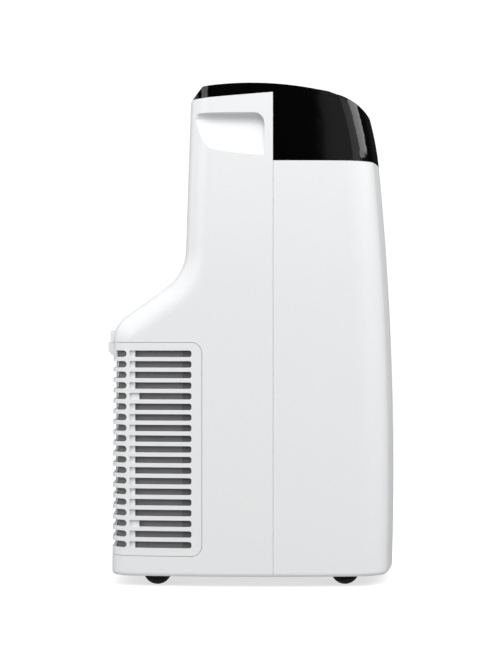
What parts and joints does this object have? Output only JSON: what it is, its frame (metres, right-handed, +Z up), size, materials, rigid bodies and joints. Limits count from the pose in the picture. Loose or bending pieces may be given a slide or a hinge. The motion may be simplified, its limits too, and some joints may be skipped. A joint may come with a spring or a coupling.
{
  "type": "portable air conditioner",
  "caption": "Upright portable air conditioner with white bowed shells, gloss black visor and lid, wrap-round rear grille, exhaust port and swivel castors.",
  "frame": {"origin": "on the floor under the middle of the machine, between the four castors", "axes": "+Z up; the front with the visor faces -Y and the exhaust port faces +Y; +X to the right-hand hand hold seen from the rear"},
  "size_m": [0.44, 0.466, 0.7809],
  "materials": {
    "white_shell": "fine satin moulded ABS",
    "gloss_black": "high-gloss piano black",
    "panel_black": "gloss touch fascia",
    "display_glass": "smoked clear window",
    "circuit_board": "glass-epoxy laminate",
    "motor_steel": "zinc plated",
    "duct_plastic": "grey moulded polypropylene",
    "vane_black": "satin moulded",
    "base_plastic": "dark moulded",
    "filter_frame": "dark grey moulded",
    "filter_mesh": "woven nylon screen",
    "guard_grey": "moulded",
    "fan_plastic": "glass-filled moulded",
    "fin_aluminium": "bare finned sheet",
    "compressor_enamel": "black enamel",
    "mount_rubber": "moulded rubber",
    "copper_pipe": "drawn copper",
    "screw_steel": "zinc plated",
    "button_black": "gloss moulded key",
    "caster_nylon": "black nylon",
    "caster_tread": "black nylon wheel"
  },
  "bodies": {
    "housing": {"accumulator": "compressor_enamel", "base_pan": "base_plastic", "compressor": "compressor_enamel", "compressor_mounts": "mount_rubber", "condenser_coil": "fin_aluminium", "condenser_motor": "motor_steel", "condenser_scroll": "duct_plastic", "control_board": "circuit_board", "control_box": "duct_plastic", "control_panel": "panel_black", "cord_gland": "mount_rubber", "display_lens": "display_glass", "evaporator_coil": "fin_aluminium", "evaporator_motor": "motor_steel", "evaporator_scroll": "duct_plastic", "exhaust_collar": "white_shell", "exhaust_duct": "duct_plastic", "exhaust_guard": "guard_grey", "front_shell": "white_shell", "front_visor": "gloss_black", "louver_motors": "motor_steel", "mid_deck": "duct_plastic", "outlet_duct": "duct_plastic", "power_board": "circuit_board", "rear_shell": "white_shell", "refrigerant_pipes": "copper_pipe", "shell_screws": "screw_steel", "slinger_motor": "motor_steel", "top_lid": "gloss_black"},
    "button_cooler": {"button_cooler": "button_black"},
    "button_fan": {"button_fan": "button_black"},
    "button_mode": {"button_mode": "button_black"},
    "button_power": {"button_power": "button_black"},
    "button_warmer": {"button_warmer": "button_black"},
    "caster_fork_fl": {"caster_fork_fl": "caster_nylon"},
    "caster_fork_fr": {"caster_fork_fr": "caster_nylon"},
    "caster_fork_rl": {"caster_fork_rl": "caster_nylon"},
    "caster_fork_rr": {"caster_fork_rr": "caster_nylon"},
    "caster_wheels_fl": {"caster_wheels_fl": "caster_tread"},
    "caster_wheels_fr": {"caster_wheels_fr": "caster_tread"},
    "caster_wheels_rl": {"caster_wheels_rl": "caster_tread"},
    "caster_wheels_rr": {"caster_wheels_rr": "caster_tread"},
    "condenser_fan": {"condenser_fan": "fan_plastic"},
    "rear_grille_set": {"condenser_filter_frame": "filter_frame", "condenser_filter_mesh": "filter_mesh", "rear_grille": "white_shell"},
    "drain_plug_lower": {"drain_plug_lower": "white_shell"},
    "drain_plug_upper": {"drain_plug_upper": "white_shell"},
    "evaporator_blower": {"evaporator_blower": "fan_plastic"},
    "intake_grille_set": {"evaporator_filter": "filter_mesh", "intake_grille": "white_shell"},
    "grille_latch": {"grille_latch": "white_shell"},
    "louver_flap": {"louver_flap": "gloss_black"},
    "slinger_wheel": {"slinger_wheel": "fan_plastic"},
    "vane_1": {"vane_1": "vane_black"},
    "vane_2": {"vane_2": "vane_black"},
    "vane_3": {"vane_3": "vane_black"},
    "vane_4": {"vane_4": "vane_black"},
    "vane_5": {"vane_5": "vane_black"},
    "vane_tie_bar": {"vane_tie_bar": "vane_black"}
  },
  "joints": [
    {"name": "flap_hinge", "type": "hinge", "parent": "housing", "child": "louver_flap", "pos_m": [0, -0.065, 0.7679], "axis": [-1, 0, 0], "range_deg": [0, 75]},
    {"name": "vane_1_pivot", "type": "hinge", "parent": "housing", "child": "vane_1", "pos_m": [-0.096, -0.118, 0.7], "axis": [0, 1, 0], "range_deg": [-35, 35]},
    {"name": "vane_2_pivot", "type": "hinge", "parent": "housing", "child": "vane_2", "pos_m": [-0.048, -0.118, 0.7], "axis": [0, 1, 0], "range_deg": [-35, 35]},
    {"name": "vane_3_pivot", "type": "hinge", "parent": "housing", "child": "vane_3", "pos_m": [0, -0.118, 0.7], "axis": [0, 1, 0], "range_deg": [-35, 35]},
    {"name": "vane_4_pivot", "type": "hinge", "parent": "housing", "child": "vane_4", "pos_m": [0.048, -0.118, 0.7], "axis": [0, 1, 0], "range_deg": [-35, 35]},
    {"name": "vane_5_pivot", "type": "hinge", "parent": "housing", "child": "vane_5", "pos_m": [0.096, -0.118, 0.7], "axis": [0, 1, 0], "range_deg": [-35, 35]},
    {"name": "tie_bar_slide", "type": "slide", "parent": "housing", "child": "vane_tie_bar", "axis": [1, 0, 0], "range_m": [-0.0072, 0.0072]},
    {"name": "power_press", "type": "slide", "parent": "housing", "child": "button_power", "axis": [0, 0, -1], "range_m": [0, 0.0012], "stiffness_N_per_m": 800, "springref_m": -0.0006},
    {"name": "mode_press", "type": "slide", "parent": "housing", "child": "button_mode", "axis": [0, 0, -1], "range_m": [0, 0.0012], "stiffness_N_per_m": 800, "springref_m": -0.0006},
    {"name": "fan_press", "type": "slide", "parent": "housing", "child": "button_fan", "axis": [0, 0, -1], "range_m": [0, 0.0012], "stiffness_N_per_m": 800, "springref_m": -0.0006},
    {"name": "cooler_press", "type": "slide", "parent": "housing", "child": "button_cooler", "axis": [0, 0, -1], "range_m": [0, 0.0012], "stiffness_N_per_m": 800, "springref_m": -0.0006},
    {"name": "warmer_press", "type": "slide", "parent": "housing", "child": "button_warmer", "axis": [0, 0, -1], "range_m": [0, 0.0012], "stiffness_N_per_m": 800, "springref_m": -0.0006},
    {"name": "blower_spin", "type": "hinge", "parent": "housing", "child": "evaporator_blower", "pos_m": [0, -0.118, 0.545], "axis": [0, 1, 0], "continuous": true},
    {"name": "fan_spin", "type": "hinge", "parent": "housing", "child": "condenser_fan", "pos_m": [0, 0.025, 0.24], "axis": [0, 1, 0], "continuous": true},
    {"name": "slinger_spin", "type": "hinge", "parent": "housing", "child": "slinger_wheel", "pos_m": [0, 0.172, 0.062], "axis": [0, 1, 0], "continuous": true},
    {"name": "swivel_fl", "type": "hinge", "parent": "housing", "child": "caster_fork_fl", "pos_m": [0.16, -0.137, 0.05], "axis": [0, 0, 1], "continuous": true},
    {"name": "roll_fl", "type": "hinge", "parent": "caster_fork_fl", "child": "caster_wheels_fl", "pos_m": [0.16, -0.147, 0.022], "axis": [1, 0, 0], "continuous": true},
    {"name": "swivel_fr", "type": "hinge", "parent": "housing", "child": "caster_fork_fr", "pos_m": [-0.16, -0.137, 0.05], "axis": [0, 0, 1], "continuous": true},
    {"name": "roll_fr", "type": "hinge", "parent": "caster_fork_fr", "child": "caster_wheels_fr", "pos_m": [-0.16, -0.147, 0.022], "axis": [1, 0, 0], "continuous": true},
    {"name": "swivel_rl", "type": "hinge", "parent": "housing", "child": "caster_fork_rl", "pos_m": [0.16, 0.136, 0.05], "axis": [0, 0, 1], "continuous": true},
    {"name": "roll_rl", "type": "hinge", "parent": "caster_fork_rl", "child": "caster_wheels_rl", "pos_m": [0.16, 0.146, 0.022], "axis": [1, 0, 0], "continuous": true},
    {"name": "swivel_rr", "type": "hinge", "parent": "housing", "child": "caster_fork_rr", "pos_m": [-0.16, 0.136, 0.05], "axis": [0, 0, 1], "continuous": true},
    {"name": "roll_rr", "type": "hinge", "parent": "caster_fork_rr", "child": "caster_wheels_rr", "pos_m": [-0.16, 0.146, 0.022], "axis": [1, 0, 0], "continuous": true},
    {"name": "rear_grille_off", "type": "slide", "parent": "housing", "child": "rear_grille_set", "axis": [0, 1, 0], "range_m": [0, 0.08]},
    {"name": "latch_press", "type": "slide", "parent": "rear_grille_set", "child": "grille_latch", "axis": [0, 0, -1], "range_m": [0, 0.005], "stiffness_N_per_m": 600, "springref_m": -0.002},
    {"name": "intake_grille_off", "type": "slide", "parent": "housing", "child": "intake_grille_set", "axis": [0, 1, 0], "range_m": [0, 0.05]},
    {"name": "lower_plug_out", "type": "slide", "parent": "housing", "child": "drain_plug_lower", "axis": [0, 1, 0], "range_m": [0, 0.03]},
    {"name": "upper_plug_out", "type": "slide", "parent": "housing", "child": "drain_plug_upper", "axis": [0, 1, 0], "range_m": [0, 0.03]}
  ],
  "couplings": [
    {"joint": "vane_2_pivot", "follows": "vane_1_pivot", "ratio": 1},
    {"joint": "vane_3_pivot", "follows": "vane_1_pivot", "ratio": 1},
    {"joint": "vane_4_pivot", "follows": "vane_1_pivot", "ratio": 1},
    {"joint": "vane_5_pivot", "follows": "vane_1_pivot", "ratio": 1},
    {"joint": "tie_bar_slide", "follows": "vane_1_pivot", "m_per_rad": 0.0116}
  ]
}
